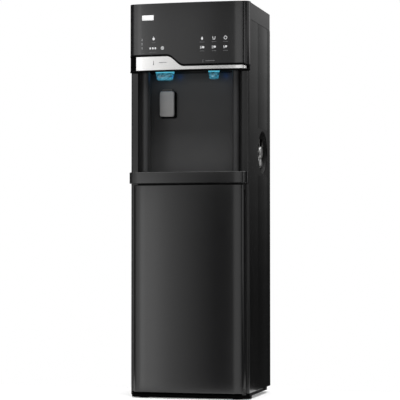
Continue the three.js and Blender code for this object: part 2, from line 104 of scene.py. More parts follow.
# ---- Outlines ----
def arc(cx, cy, radius, start, end, steps):
    """Points along an arc between two angles in degrees."""
    turns = [math.radians(start + (end - start) * i / steps) for i in range(steps + 1)]
    return [(cx + radius * math.cos(a), cy + radius * math.sin(a)) for a in turns]


def disc(cx, cy, radius, sides=24):
    return arc(cx, cy, radius, 0, 360 - 360 / sides, sides - 1)


def rounded(cx, cy, width, depth, radius, steps):
    """A rectangle with rounded corners."""
    x = width / 2 - radius
    y = depth / 2 - radius
    corners = [(x, y, 0), (-x, y, 90), (-x, -y, 180), (x, -y, 270)]
    points = []
    for px, py, start in corners:
        points += arc(cx + px, cy + py, radius, start, start + 90, steps)
    return points


CROWN_RADIUS = 2000
SHOULDER = 26
SHOULDER_END = math.radians(10)
CROWN_STEPS, SHOULDER_STEPS, CORNER_STEPS = 24, 8, 12


def front_curve(plan, inset=0):
    """The front of a piece from its middle to its right side: crown, shoulder and corner."""
    half, face, corner = plan["half"], plan["face"], plan["corner"]
    crown_end = math.asin((half - corner - SHOULDER) / CROWN_RADIUS)
    shoulder = SHOULDER / (math.sin(SHOULDER_END) - math.sin(crown_end))
    rounding = corner / (1 - math.sin(SHOULDER_END))
    runs = [
        (CROWN_RADIUS, 0, crown_end, CROWN_STEPS),
        (shoulder, crown_end, SHOULDER_END, SHOULDER_STEPS),
        (rounding, SHOULDER_END, math.pi / 2, CORNER_STEPS),
    ]
    points = [(0, face + inset)]
    cx, cy = 0, face
    for radius, start, end, steps in runs:
        ox = cx - radius * math.sin(start)
        oy = cy + radius * math.cos(start)
        for i in range(1, steps + 1):
            a = start + (end - start) * i / steps
            points.append((ox + (radius - inset) * math.sin(a), oy - (radius - inset) * math.cos(a)))
        cx = ox + radius * math.sin(end)
        cy = oy - radius * math.cos(end)
    return points


def front_plan(plan, back, inset=0):
    right = front_curve(plan, inset) + [(plan["half"] - inset, back)]
    return [(-x, y) for x, y in reversed(right[1:])] + right


def face_at(plan, x):
    """Depth of a front piece's face at x."""
    curve = front_curve(plan)
    x = abs(x)
    for (x0, y0), (x1, y1) in zip(curve, curve[1:]):
        if x <= x1:
            return y0 + (y1 - y0) * (x - x0) / (x1 - x0)
    return curve[-1][1]


def smoothstep(t):
    t = min(max(t, 0), 1)
    return t * t * (3 - 2 * t)


def corner_dip(x):
    """How far the fascia's lower edge has dipped at x."""
    return CORNER_DIP * smoothstep((x - DIP_START) / DIP_LENGTH)


def step_edge(x):
    """Height of the fascia's lower edge."""
    t = min(max((x - STEP_START) / (STEP_END - STEP_START), 0), 1)
    level = STEP_HIGH - (STEP_HIGH - STEP_LOW) * (1 - math.cos(math.pi * t)) / 2
    return level - corner_dip(x)


# ---- Meshes ----
def piece(name, verts, faces, material, body="cabinet", slot=None, replaces=(), bevel=0, sharp=32):
    """Makes a mesh object from millimetre points and puts it on its body; sharp is in degrees."""
    mesh = bpy.data.meshes.new(name)
    mesh.from_pydata([Vector(v) * MM for v in verts], [], faces)
    work = bmesh.new()
    work.from_mesh(mesh)
    bmesh.ops.remove_doubles(work, verts=work.verts, dist=1e-6)
    bmesh.ops.recalc_face_normals(work, faces=work.faces)
    work.to_mesh(mesh)
    work.free()
    mesh.polygons.foreach_set("use_smooth", [True] * len(mesh.polygons))
    mesh.set_sharp_from_angle(angle=math.radians(sharp))
    made = bpy.data.objects.new(name, mesh)
    bpy.context.scene.collection.objects.link(made)
    mesh.materials.append(material)
    if bevel:
        rounding = made.modifiers.new("edges", "BEVEL")
        rounding.width = bevel * MM
        rounding.segments = 3
        rounding.limit_method = "ANGLE"
        rounding.angle_limit = math.radians(40)
        rounding.harden_normals = True
    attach(made, body)
    if replaces:
        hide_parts(*replaces)


def merge(*parts):
    """Joins meshes, each a pair of points and faces, into one."""
    verts, faces = [], []
    for part_verts, part_faces in parts:
        base = len(verts)
        verts += part_verts
        faces += [tuple(i + base for i in face) for face in part_faces]
    return verts, faces


def loft(rings, caps=True):
    """Skins equal rings of points; caps close the first and last ring."""
    count = len(rings[0])
    verts = [point for ring in rings for point in ring]
    faces = []
    for r in range(len(rings) - 1):
        for i in range(count):
            j = (i + 1) % count
            a, b = r * count, (r + 1) * count
            faces.append((a + i, a + j, b + j, b + i))
    if caps:
        faces.append(tuple(reversed(range(count))))
        last = (len(rings) - 1) * count
        faces.append(tuple(range(last, last + count)))
    return verts, faces


def tube_loft(rings):
    """Skins rings that run out and back to the first, like a pipe with walls."""
    return loft(rings + [rings[0]], caps=False)


def rounded_edges(low, high, edge, edge_low, steps=4):
    """Insets and heights of rings with quarter-round edges; a ring past each keeps the wall flat."""
    turns = [math.pi / 2 * i / steps for i in range(steps + 1)]
    rings = [(edge_low * (1 - math.sin(a)), low + edge_low * (1 - math.cos(a))) for a in turns]
    margin = min(1.0, (high - low - edge - edge_low) / 3)
    rings += [(0, low + edge_low + margin), (0, high - edge - margin)]
    upper = [(edge * (1 - math.sin(a)), high - edge * (1 - math.cos(a))) for a in reversed(turns)]
    return rings + upper


def soft_prism(outline, low, high, edge, edge_low=None, steps=4):
    """Raises outline(inset) from low to high with rounded upper and lower edges."""
    edge_low = edge if edge_low is None else edge_low
    rings = rounded_edges(low, high, edge, edge_low, steps)
    return loft([[(x, y, z) for x, y in outline(inset)] for inset, z in rings])


def swap(mesh, order):
    """Turns a raised shape so that its height runs along another axis."""
    verts, faces = mesh
    return [tuple(v[i] for i in order) for v in verts], faces


def strip(outer, inner, low, high):
    """A wall between two paths, with lower and upper edges given as functions of x."""
    rings = []
    for (ox, oy), (ix, iy) in zip(outer, inner):
        bottom, top = low(ox), high(ox)
        rings.append([(ox, oy, bottom), (ox, oy, top), (ix, iy, top), (ix, iy, bottom)])
    return loft(rings)


def rod(axis, centre, radius, low, high, edge, sides):
    """A round bar along an axis, with rounded ends."""
    outline = lambda inset: disc(*centre, radius - inset, sides)
    raised = soft_prism(outline, low, high, edge, steps=3)
    return swap(raised, {"x": (2, 0, 1), "y": (0, 2, 1), "z": (0, 1, 2)}[axis])


def soft_box(x, y, z, radius, edge):
    """A box with rounded corners, from its low and high coordinates."""
    cx, cy = (x[0] + x[1]) / 2, (y[0] + y[1]) / 2
    width, depth = x[1] - x[0], y[1] - y[0]

    def outline(inset):
        corner = max(radius - inset, 0.05)
        return rounded(cx, cy, width - 2 * inset, depth - 2 * inset, corner, 4)

    return soft_prism(outline, z[0], z[1], edge, steps=3)


# ---- Materials ----
def shader(name):
    material = bpy.data.materials.new(name)
    material.use_nodes = True
    tree = material.node_tree
    return material, tree, tree.nodes["Principled BSDF"]


def noise(tree, scale, detail, stretch=(1, 1, 1)):
    place = tree.nodes.new("ShaderNodeTexCoord")
    mapping = tree.nodes.new("ShaderNodeMapping")
    mapping.inputs["Scale"].default_value = stretch
    texture = tree.nodes.new("ShaderNodeTexNoise")
    texture.inputs["Scale"].default_value = scale
    texture.inputs["Detail"].default_value = detail
    tree.links.new(place.outputs["Object"], mapping.inputs["Vector"])
    tree.links.new(mapping.outputs["Vector"], texture.inputs["Vector"])
    return texture.outputs["Fac"]


def spread(tree, factor, low, high):
    """Maps a 0..1 factor onto low..high, numbers or colours."""
    ramp = tree.nodes.new("ShaderNodeValToRGB")
    ramp.color_ramp.elements[0].position = 0.3
    ramp.color_ramp.elements[1].position = 0.7
    for stop, value in zip(ramp.color_ramp.elements, (low, high)):
        stop.color = (value,) * 3 + (1,) if isinstance(value, float) else (*value, 1)
    tree.links.new(factor, ramp.inputs["Fac"])
    return ramp.outputs["Color"]


def finish(name, colour, roughness, grain, bump, metallic=0.0, shade=0.12, specular=0.5,
           stretch=(1, 1, 1), emission=None, glow=0.0, uneven=0.1):
    """A moulded, painted or brushed surface: fine relief, uneven colour and uneven gloss."""
    material, tree, bsdf = shader(name)
    patches = noise(tree, scale=14, detail=4)
    dark = tuple(c * (1 - shade) for c in colour)
    light = tuple(min(c * (1 + shade), 1) for c in colour)
    tree.links.new(spread(tree, patches, dark, light), bsdf.inputs["Base Color"])
    smudges = noise(tree, scale=30, detail=5)
    rough = spread(tree, smudges, roughness * (1 - uneven), roughness * (1 + uneven))
    tree.links.new(rough, bsdf.inputs["Roughness"])
    relief = tree.nodes.new("ShaderNodeBump")
    relief.inputs["Strength"].default_value = bump
    relief.inputs["Distance"].default_value = 0.0004
    tree.links.new(noise(tree, grain, detail=2, stretch=stretch), relief.inputs["Height"])
    tree.links.new(relief.outputs["Normal"], bsdf.inputs["Normal"])
    bsdf.inputs["Metallic"].default_value = metallic
    bsdf.inputs["Specular IOR Level"].default_value = specular
    if emission:
        bsdf.inputs["Emission Color"].default_value = (*emission, 1)
        bsdf.inputs["Emission Strength"].default_value = glow
    return material


def clear_blue(name):
    """Clear plastic that carries uneven bands of blue light."""
    material, tree, bsdf = shader(name)
    bands = noise(tree, scale=90, detail=3, stretch=(1, 1, 2.5))
    tint = spread(tree, bands, (0.01, 0.05, 0.07), (0.25, 0.5, 0.58))
    tree.links.new(tint, bsdf.inputs["Base Color"])
    lit = spread(tree, bands, (0.0, 0.02, 0.035), (0.05, 0.26, 0.36))
    tree.links.new(lit, bsdf.inputs["Emission Color"])
    bsdf.inputs["Emission Strength"].default_value = 0.6
    bsdf.inputs["Roughness"].default_value = 0.08
    bsdf.inputs["Transmission Weight"].default_value = 0.45
    bsdf.inputs["IOR"].default_value = 1.46
    bsdf.inputs["Coat Weight"].default_value = 0.6
    return material


FASCIA = finish("fascia_gloss", (0.007, 0.007, 0.0075), 0.13, 900, 0.004, shade=0.05, uneven=0.05)
SATIN = finish("satin_black", (0.006, 0.006, 0.0063), 0.15, 2600, 0.006, shade=0.07, uneven=0.05)
NICHE = finish("niche_black", (0.1, 0.1, 0.101), 0.45, 2600, 0.03, shade=0.04, specular=0.15)
PLINTH = finish("plinth_black", (0.002, 0.002, 0.002), 0.45, 1600, 0.05, specular=0.01)
# Near-black with almost no gloss: painted shade, for the thin dark lines and gaps where shadow falls
# between parts.
SHADE_BLACK = finish("painted_shade_black", (0.0012, 0.0012, 0.0012), 0.7, 1600, 0.1, specular=0.06)
DEEP = finish("matt_black", (0.006, 0.006, 0.006), 0.6, 1600, 0.12, shade=0.15)
LIP = finish("lip_black", (0.045, 0.045, 0.046), 0.4, 2600, 0.03, shade=0.05, specular=0.3)
STEEL_PAINT = finish("painted_steel", (0.0016, 0.0016, 0.0017), 0.17, 1500, 0.002,
                     shade=0.04, uneven=0.02)
SILVER = finish("brushed_silver", (0.62, 0.616, 0.61), 0.2, 500, 0.01, 1.0, shade=0.02,
                stretch=(0.03, 1, 6), uneven=0.04)
PADDLE_GREY = finish("paddle_grey", (0.62, 0.61, 0.6), 0.45, 2400, 0.06, shade=0.04)
WHITE = finish("white_plastic", (0.8, 0.8, 0.79), 0.35, 1200, 0.04, shade=0.03)
# The plate's emission is painted light: a glow that makes the plate read brighter than the lamps light
# it.
PLATE_PAINTED_GLOW = finish("plate_white_painted_glow", (0.92, 0.92, 0.92), 0.35, 1200, 0.02, shade=0.02,
               emission=(1, 1, 1), glow=0.35)
# The print's emission is painted light: a glow that makes the white marks read brighter than the lamps
# light them.
PRINT_PAINTED_GLOW = finish("white_print_painted_glow", (0.72, 0.73, 0.74), 0.5, 2000, 0.02, shade=0.04,
               emission=(1, 1, 1), glow=0.25)
FAINT = finish("faint_print", (0.16, 0.16, 0.165), 0.5, 2000, 0.02, shade=0.04)
SOFT_PRINT = finish("grey_print", (0.42, 0.42, 0.43), 0.5, 2000, 0.02, shade=0.04)
GUIDE = finish("lit_guide", (0.16, 0.6, 0.75), 0.25, 900, 0.03, shade=0.1,
               emission=(0.1, 0.56, 0.74), glow=0.6)
CLEAR = clear_blue("clear_outlet")
STAINLESS = finish("stainless", (0.62, 0.62, 0.61), 0.3, 700, 0.1, 1.0, stretch=(1, 1, 0.05))
ALUMINIUM = finish("fan_silver", (0.6, 0.6, 0.59), 0.3, 900, 0.03, 0.9, shade=0.06)
RUBBER = finish("rubber", (0.012, 0.012, 0.012), 0.85, 900, 0.2)
BOARD = finish("circuit_board", (0.01, 0.09, 0.04), 0.5, 600, 0.2)
FOAM = finish("insulation", (0.72, 0.7, 0.63), 0.9, 500, 0.4)
TUBING = finish("tubing", (0.7, 0.74, 0.76), 0.3, 700, 0.05)
BLUE = finish("blue_plastic", (0.03, 0.14, 0.45), 0.4, 1500, 0.08)
RED = finish("red_plastic", (0.45, 0.04, 0.03), 0.4, 1500, 0.08)

# The CAD nodes that are shown as they are, by material.
CARRIED = {
    "mid_deck header_ceiling drip_grille door_liner door_catch fan_shroud hot_valve cold_valve": DEEP,
    "paddle_microswitch water_pump mains_inlet main_switch_frame door_hinge_upper door_hinge_lower": DEEP,
    "paddle_arm paddle_bracket": SATIN,
    "side_panel_left rear_panel": STEEL_PAINT,
    "thermoelectric_module water_inlet filter_cartridge_1 filter_cartridge_2 filter_cartridge_3": WHITE,
    "hot_spout cold_spout paddle_pin door_strike": STAINLESS,
    "fan_motor hot_tank filter_bracket": STAINLESS,
    "heat_sink": ALUMINIUM,
    "foot_front_left foot_front_right foot_rear_left foot_rear_right": RUBBER,
    "touch_board power_board": BOARD,
    "cold_tank": FOAM,
    "hot_hose cold_hose": TUBING,
    "cold_drain_cap": BLUE,
    "hot_drain_cap main_switch_rocker": RED,
}


def dress_carried_nodes():
    for names, material in CARRIED.items():
        for name in names.split():
            for slot in NODES[name].material_slots:
                slot.material = material


# ---- Header ----
def between(back, set_in, wall, from_x=-math.inf, to_x=math.inf):
    """Outer and inner paths of a wall along the header's front, kept between two x values."""
    outer = front_plan(HEAD, back, set_in)
    inner = front_plan(HEAD, back, set_in + wall)
    kept = [i for i, (x, _) in enumerate(outer) if from_x <= x <= to_x]
    return [outer[i] for i in kept], [inner[i] for i in kept]


def header():
    paths = between(FASCIA_HIGH.y, set_in=0, wall=FASCIA_WALL)
    shell = strip(*paths, step_edge, lambda x: HEIGHT)
    piece("fascia_shell", *shell, FASCIA, slot="black_gloss_plastic",
          replaces=["header_fascia"], bevel=0.8)
    trim_front()


def trim_front():
    """The bead, the silver band with its dark ends, and the lip under them. The bead, the ends and the
    lip are coloured in the near-black painted-shade material, so they read as shadow lines.
    """
    back = BEAD_HIGH.y
    band_left, band_right, lap = -147, 158, 0.5
    lip = 5  # height of the lip
    bead_bottom = lambda x: step_edge(x) - BEAD
    band_top = lambda x: bead_bottom(x) - GAP
    band_bottom = lambda x: TRIM_LOW.z - 0.4 * corner_dip(x)
    paths = between(back, set_in=-0.5, wall=3)
    bead = strip(*paths, bead_bottom, lambda x: step_edge(x) - GAP)
    piece("fascia_bead", *bead, SHADE_BLACK, slot="black_satin_plastic", replaces=["trim_bead"], bevel=1.2)
    paths = between(back, set_in=1.0, wall=2, from_x=band_left, to_x=band_right)
    band = strip(*paths, band_bottom, band_top)
    piece("silver_band", *band, SILVER, slot="silver_trim", replaces=["silver_trim"], bevel=0.5)
    paths = between(back, set_in=0.6, wall=2, to_x=band_left + lap)
    end = strip(*paths, lambda x: TRIM_LOW.z, band_top)
    piece("band_end_left", *end, SHADE_BLACK, slot="black_matt_plastic", bevel=0.4)
    paths = between(back, set_in=0.6, wall=2, from_x=band_right - lap)
    end = strip(*paths, lambda x: TRIM_LOW.z - 2, band_top)
    piece("band_end_right", *end, SHADE_BLACK, slot="black_matt_plastic", bevel=0.4)
    paths = between(back, set_in=-0.4, wall=3.2)
    under = strip(*paths, lambda x: TRIM_LOW.z - lip, lambda x: TRIM_LOW.z - 0.2)
    piece("lower_lip", *under, SHADE_BLACK, slot="black_matt_plastic", bevel=1.3)


def top_cover():
    back = COVER_HIGH.y
    side = SIDE_HIGH.x + 0.4
    set_in = FASCIA_WALL + GAP
    step = FASCIA_HIGH.y
    corner = 6

    def lid(inset):
        nose = front_curve(HEAD, set_in + inset)
        right = nose + [(HEAD["half"] - set_in - inset, step), (side - inset, step + GAP)]
        right += arc(side - corner, back - corner, corner - inset, 0, 90, 8)
        left = [(-x, y) for x, y in reversed(right)]
        return left[:-1] + right

    lid_mesh = soft_prism(lid, COVER_LOW.z, HEIGHT, edge=1.6, edge_low=0.6)
    piece("top_lid", *lid_mesh, STEEL_PAINT, slot="black_satin_plastic",
          replaces=["top_cover"], sharp=40)


def name_plate():
    middle_x = (PLATE_LOW.x + PLATE_HIGH.x) / 2
    middle_z = (PLATE_LOW.z + PLATE_HIGH.z) / 2
    size = PLATE_HIGH - PLATE_LOW
    corner, thick, edge, behind = 1.4, 1.6, 0.5, 0.7

    def outline(inset):
        wide, tall = size.x - 2 * inset, size.z - 2 * inset
        return rounded(middle_x, middle_z, wide, tall, corner - inset, 5)

    verts, faces = soft_prism(outline, 0, thick, edge)
    placed = [(x, face_at(HEAD, x) + behind - y, z) for x, z, y in verts]
    piece("blank_plate", placed, faces, PLATE_PAINTED_GLOW, slot="white_plastic", replaces=["name_plate"])


# ---- Touch icons: flat generic marks laid on the fascia ----
PRINT_LIFT = 0.12
PRINT_DEPTH = 0.3


def decal(shapes, inset=0.0):
    """Lays shapes on the header's face: closed x, z outlines, or pairs of outlines for a ring."""
    def front(outline):
        return [(x, face_at(HEAD, x) + inset - PRINT_LIFT, z) for x, z in outline]

    def back(outline):
        return [(x, y + PRINT_DEPTH, z) for x, y, z in front(outline)]

    parts = []
    for shape in shapes:
        if isinstance(shape, tuple):
            outer, inner = shape
            parts.append(tube_loft([front(outer), front(inner), back(inner), back(outer)]))
        else:
            parts.append(loft([back(shape), front(shape)]))
    return merge(*parts)


def bar(x, z, width, height, radius=None):
    radius = min(width, height) * 0.45 if radius is None else radius
    return rounded(x, z, width, height, radius, 3)


def ring(x, z, radius, wall):
    return disc(x, z, radius), disc(x, z, radius - wall)


def drop(x, z, size):
    return [(x, z + size)] + arc(x, z - size * 0.3, size * 0.62, 155, 385, 16)


def cup(x, z, size):
    left, right = x - size, x + size
    wall = size * 0.32
    foot = size * 0.35
    return [
        (left, z + size), (left + foot, z - size), (right - foot, z - size), (right, z + size),
        (right - wall, z + size), (right - foot - wall * 0.8, z - size + wall),
        (left + foot + wall * 0.8, z - size + wall), (left + wall, z + size),
    ]


def slant(x, z, width, height, lean):
    left, right, top = x - width / 2, x + width / 2, z + height
    return [(left, z), (right, z), (right + lean, top), (left + lean, top)]


KEY_COLUMNS = [39, 71, 102]
UPPER_KEYS, LOWER_KEYS = 953, 929
MODE_ROW = 930
MODE_MARK, DIAL, FIRST_BLOCK = -95, -70, -104
LEVELS = -127


def key_marks():
    """The six keys at the right: a drop, a cup and a dial above; a bar, a stroke and a disc below."""
    first, second, third = KEY_COLUMNS
    marks = [drop(first, UPPER_KEYS, 4.6), cup(second, UPPER_KEYS, 4.2)]
    marks += [ring(third, UPPER_KEYS, 4.6, 1.3), bar(third, UPPER_KEYS + 4.6, 1.2, 2.4)]
    for i, x in enumerate(KEY_COLUMNS):
        marks += [bar(x - 4.6, LOWER_KEYS, 1.2, 7.5), slant(x - 2.2, LOWER_KEYS - 3.4, 1.2, 6.8, 2.2)]
        marks += [disc(x + 3 - 0.6 * i, LOWER_KEYS + 0.4 * i, 3.1 - 0.3 * i)]
    return marks


def mode_marks():
    """The marks at the left: a disc with a stroke, a dial with a cross and three short blocks."""
    marks = [disc(MODE_MARK + 0.5, 955, 3.6), slant(MODE_MARK + 1, 957, 1.3, 4.2, -1.6)]
    marks += [ring(DIAL, MODE_ROW, 4.4, 1.5)]
    marks += [bar(DIAL, MODE_ROW, 1.3, 4.6), bar(DIAL, MODE_ROW, 4.6, 1.3)]
    marks += [bar(FIRST_BLOCK + 7.2 * i, MODE_ROW, 4.6, 5.6, 2.0) for i in range(3)]
    return marks


def caption_bars():
    """Plain bars where the keys and marks have captions."""
    bars = [bar(x, z - 10, 13 - i % 2, 1.3)
            for z in (UPPER_KEYS, LOWER_KEYS) for i, x in enumerate(KEY_COLUMNS)]
    bars += [bar(MODE_MARK, 945, 11, 1.2), bar(MODE_MARK - 2, 919.5, 20, 1.0)]
    bars += [bar(LEVELS, 917.5, 15, 1.1)]
    return bars


def icons():
    piece("touch_icons", *decal(key_marks() + mode_marks()), PRINT_PAINTED_GLOW, slot="white_plastic")
    piece("touch_captions", *decal(caption_bars()), FAINT, slot="grey_plastic")
    levels = [bar(LEVELS, 931 + 11 * i, 2.2, 6.6) for i in range(3)]
    piece("level_marks", *decal(levels), SOFT_PRINT, slot="white_plastic")
    hot = [disc(-95, 887.5, 2.0), bar(-95, 892.4, 1.4, 8.5), bar(-69, 891.5, 21, 2.0)]
    piece("hot_mark", *decal(hot, inset=1.0), SOFT_PRINT, slot="grey_plastic")
    cold = [bar(41, 893, 1.5, 7), bar(41, 890, 3, 2.6), bar(60.5, 893, 25, 2.2)]
    piece("cold_mark", *decal(cold), FAINT, slot="grey_plastic")


# ---- Outlets ----
def outlet(name, outline, guide_node, housing_node):
    """A lit ring over a clear stepped housing, with a lit collar inside it."""
    guide_low, guide_high = box_mm(guide_node)
    low, high = box_mm(housing_node)
    guide_outline = lambda inset: outline(-0.4 + inset)
    guide = soft_prism(guide_outline, guide_low.z, guide_high.z, edge=0.6, edge_low=1.4)
    piece(f"{name}_glow_ring", *guide, GUIDE, slot="light_guide", replaces=[guide_node])
    tall = high.z - low.z
    # How far down the housing each ring is, as a share of its height, and how far it is set in.
    profile = [(0, 0.8), (0.08, 0.5), (0.4, 0.8), (0.45, 1.8)]
    profile += [(0.55, 1.8), (0.88, 2.6), (0.96, 3.4), (1, 5.2)]
    rings = [[(x, y, high.z - tall * down) for x, y in outline(inset)] for down, inset in profile]
    piece(f"{name}_clear_housing", *loft(rings), CLEAR, slot="clear_blue", replaces=[housing_node])
    collar_low, collar_high = low.z + tall * 0.28, low.z + tall * 0.36
    collar = soft_prism(lambda inset: outline(2.6 + inset), collar_low, collar_high, edge=0.4)
    piece(f"{name}_inner_collar", *collar, GUIDE, slot="light_guide")


def outlets():
    for name in ("hot", "cold"):
        low, high = box_mm(f"{name}_light_guide")
        middle = (low + high) / 2
        width, depth = high.x - low.x, high.y - low.y
        flat = 0.01  # keeps a little straight between two corners
        radius = 9 if name == "hot" else width / 2 - flat

        def outline(inset):
            corner = min(radius, width / 2 - inset - flat)
            return rounded(middle.x, middle.y, width - 2 * inset, depth - 2 * inset, corner, 9)

        outlet(name, outline, f"{name}_light_guide", f"{name}_outlet_housing")


# ---- Niche ----
def offset_path(path, distance):
    """Moves a path sideways, square to its own direction."""
    moved = []
    for i, (x, y) in enumerate(path):
        ax, ay = path[max(i - 1, 0)]
        bx, by = path[min(i + 1, len(path) - 1)]
        length = math.hypot(bx - ax, by - ay)
        moved.append((x - (by - ay) / length * distance, y + (bx - ax) / length * distance))
    return moved


def niche():
    back = LINER_HIGH.y - LINER_WALL
    lip_x, lip_y, lip_radius, lip_back = 123.75, -111, 9.25, -100
    lip_start, lip_foot = 5 - SIDE_HIGH.x, -134
    side, cove = 126.5, 1.5
    lip = [(lip_start, lip_back), (lip_foot, lip_back)]
    lip += arc(-lip_x, lip_y, lip_radius, 180, 360, 28)
    corner = [lip[-1]] + arc(-side + cove, back - cove, cove, 180, 90, 10)

    def mirrored(path):
        return [(-x, y) for x, y in reversed(path)]

    def wall(path):
        inner = offset_path(path, LINER_WALL)
        return strip(path, inner, lambda x: LINER_LOW.z, lambda x: LINER_HIGH.z)

    piece("niche_back", *wall(corner + mirrored(corner)), NICHE, slot="black_satin_plastic",
          replaces=["niche_liner"], sharp=25)
    piece("niche_lips", *merge(wall(lip), wall(mirrored(lip))), LIP,
          slot="black_satin_plastic", sharp=25)


def paddle():
    middle = (PAD_LOW + PAD_HIGH) / 2
    size = PAD_HIGH - PAD_LOW
    corner = 6

    def outline(inset, shift=0, grow=0):
        wide, tall = size.x + 2 * (grow - inset), size.z + 2 * (grow - inset)
        return rounded(middle.x + shift, middle.z - shift, wide, tall, corner - inset * 0.6, 8)

    face, faces = soft_prism(outline, 0, size.y, edge=2.6, edge_low=0.6, steps=6)
    placed = [(x, PAD_HIGH.y - y, z) for x, z, y in face]
    piece("paddle_face", placed, faces, PADDLE_GREY, "paddle", "grey_plastic", ["paddle_pad"])
    # A black block behind the pad, a little lower and wider, is painted shadow: it stands for the pad's
    # shadow on the back wall, and it hides where the arm meets the back wall.
    thick = 7
    shadow_outline = lambda inset: outline(inset, shift=2, grow=1.5)
    shadow_block, faces = soft_prism(shadow_outline, 0, thick, edge=1.5, edge_low=0.3)
    placed = [(x, LINER_HIGH.y - LINER_WALL - y, z) for x, z, y in shadow_block]
    piece("paddle_painted_shadow", placed, faces, SHADE_BLACK, slot="black_matt_plastic")


# ---- Tray, door and base ----
def hollow_band(plan, back, low, high, wall, floor, edge):
    """A front band with a rounded rim round a well."""
    outline = lambda inset: front_plan(plan, back - inset, inset)
    brim = 0.5
    rings = rounded_edges(low, high, edge, edge)
    rings += [(wall - brim, high), (wall, high - brim), (wall, floor)]
    return loft([[(x, y, z) for x, y in outline(inset)] for inset, z in rings])


def drip_tray():
    wall, sheet, half = 4, 3, 112
    step = -124
    back = box_mm("drip_grille")[1].y + 3.6
    floor, rim = TRAY_LOW.z + sheet, TRAY_HIGH.z - 2
    band = hollow_band(TRAY, step, TRAY_LOW.z, TRAY_HIGH.z, wall, floor, 1.4)
    tongue = soft_box((-half, half), (step - 1, back), (TRAY_LOW.z, floor), radius=2, edge=0.3)
    well = [tongue]
    for x in (-half, half - sheet):
        well.append(soft_box((x, x + sheet), (step - 1, back), (TRAY_LOW.z, rim), radius=0.8, edge=0.4))
    well.append(soft_box((-half, half), (back - sheet, back), (TRAY_LOW.z, rim), radius=0.8, edge=0.4))
    piece("tray_band", *band, SATIN, "drip_tray", "black_satin_plastic", ["drip_tray"], sharp=40)
    piece("tray_well", *merge(*well), SATIN, "drip_tray", "black_satin_plastic")


def door():
    back = DOOR_HIGH.y
    edge = 1.8
    outline = lambda inset: front_plan(DOOR, back - inset * 0.2, inset)
    panel = soft_prism(outline, DOOR_LOW.z, DOOR_HIGH.z, edge)
    piece("door_skin", *panel, SATIN, "door", "black_satin_plastic", ["door_panel"], sharp=40)


def base():
    nose_back, nose_top = -95, 12
    slab_front, slab_low = -119, 9
    outline = lambda inset: front_plan(BASE, nose_back, inset)
    nose = soft_prism(outline, BASE_LOW.z, nose_top, edge=2.0, edge_low=1.0)
    half, back, top = SIDE_HIGH.x, BASE_HIGH.y, BASE_HIGH.z
    slab = soft_box((-half, half), (slab_front, back), (slab_low, top), radius=2, edge=0.4)
    piece("plinth", *merge(nose, slab), PLINTH, slot="black_matt_plastic",
          replaces=["base_tray"], sharp=40)


# ---- Right side panel with its round opening ----
def side_panel():
    low, high = SIDE_LOW, SIDE_HIGH
    sheet, corner = 1.5, 4
    inside = high.x - sheet
    hole, margin = 57, 64
    fan = (ROTOR_LOW + ROTOR_HIGH) / 2
    near, far = fan.y - margin, fan.y + margin

    def bend(radius):
        return arc(high.x - corner, low.y + corner, radius, 0, -90, 8)

    def flat_sheet(y, z):
        return soft_box((inside, high.x), y, z, radius=0.1, edge=0.05)

    outer = [(high.x, near)] + bend(corner) + [(low.x, low.y)]
    inner = [(inside, near)] + bend(corner - sheet) + [(low.x, low.y + sheet)]
    front = strip(outer, inner, lambda x: low.z, lambda x: high.z)
    rear = flat_sheet((far, high.y), (low.z, high.z))
    above = flat_sheet((near, far), (fan.z + margin, high.z))
    below = flat_sheet((near, far), (low.z, fan.z - margin))
    frame_round_hole = square_to_circle(fan, inside, high.x, hole, margin)
    panel = merge(front, rear, above, below, frame_round_hole)
    piece("side_skin_right", *panel, STEEL_PAINT, slot="painted_steel",
          replaces=["side_panel_right"], sharp=25)


def square_to_circle(centre, inside, outside, hole, margin):
    """A square of sheet with a round hole whose edge is turned in; all rings have the same count."""
    steps = 96
    turns = [2 * math.pi * (i + 0.5) / steps for i in range(steps)]
    circle = [(math.cos(a), math.sin(a)) for a in turns]

    def square(x):
        reach = [margin / max(abs(c), abs(s)) for c, s in circle]
        return [(x, centre.y + d * c, centre.z + d * s) for d, (c, s) in zip(reach, circle)]

    def ring_at(x, radius):
        return [(x, centre.y + radius * c, centre.z + radius * s) for c, s in circle]

    rings = [square(inside), square(outside), ring_at(outside, hole + 3), ring_at(outside, hole + 1.6)]
    rings += [ring_at(outside - 0.25, hole + 0.6), ring_at(outside - 0.9, hole), ring_at(inside, hole)]
    return tube_loft(rings)


# ---- Fan ----
def fan_blade(centre, turn):
    """A swept blade with a curved section, lofted from root to tip."""
    root, tip = 15, 53.4
    spans, chords = 12, 8
    half_thick = 0.7
    shallow = 0.62  # flattens the blade, so that it fits the rotor's depth
    rings = []
    for i in range(spans + 1):
        t = i / spans
        radius = root + (tip - root) * t
        width = 11 + 13 * math.sin(math.pi * (0.16 + 0.62 * t))
        pitch = math.radians(46 - 20 * t)
        sweep = math.radians(18 * t * t)
        taper = 1.12 * max(t - 0.75, 0)
        front, back = [], []
        for j in range(chords + 1):
            u = j / chords - 0.5
            along = u * width * (1 - taper * abs(u))
            camber = 2.2 * (1 - 4 * u * u)
            angle = math.radians(turn) + sweep + along * math.cos(pitch) / radius
            depth = centre.x + along * math.sin(pitch) * shallow + camber - 1
            y = centre.y + radius * math.cos(angle)
            z = centre.z + radius * math.sin(angle)
            for rows, shift in ((front, half_thick), (back, -half_thick)):
                x = min(max(depth + shift, ROTOR_LOW.x), ROTOR_HIGH.x)
                rows.append((x, y, z))
        rings.append(front + back[::-1])
    return loft(rings)


def fan_rotor():
    blades, first_turn, hub_radius = 5, 12, 17
    centre = (ROTOR_LOW + ROTOR_HIGH) / 2
    parts = [rod("x", (centre.y, centre.z), hub_radius, ROTOR_LOW.x, ROTOR_HIGH.x, edge=2.2, sides=48)]
    for i in range(blades):
        parts.append(fan_blade(centre, first_turn + 360 / blades * i))
    piece("fan_propeller", *merge(*parts), ALUMINIUM, "fan", "aluminium", ["fan_rotor"], sharp=50)


# ---- Rear ----
def rear():
    louvre()
    rear_screws()


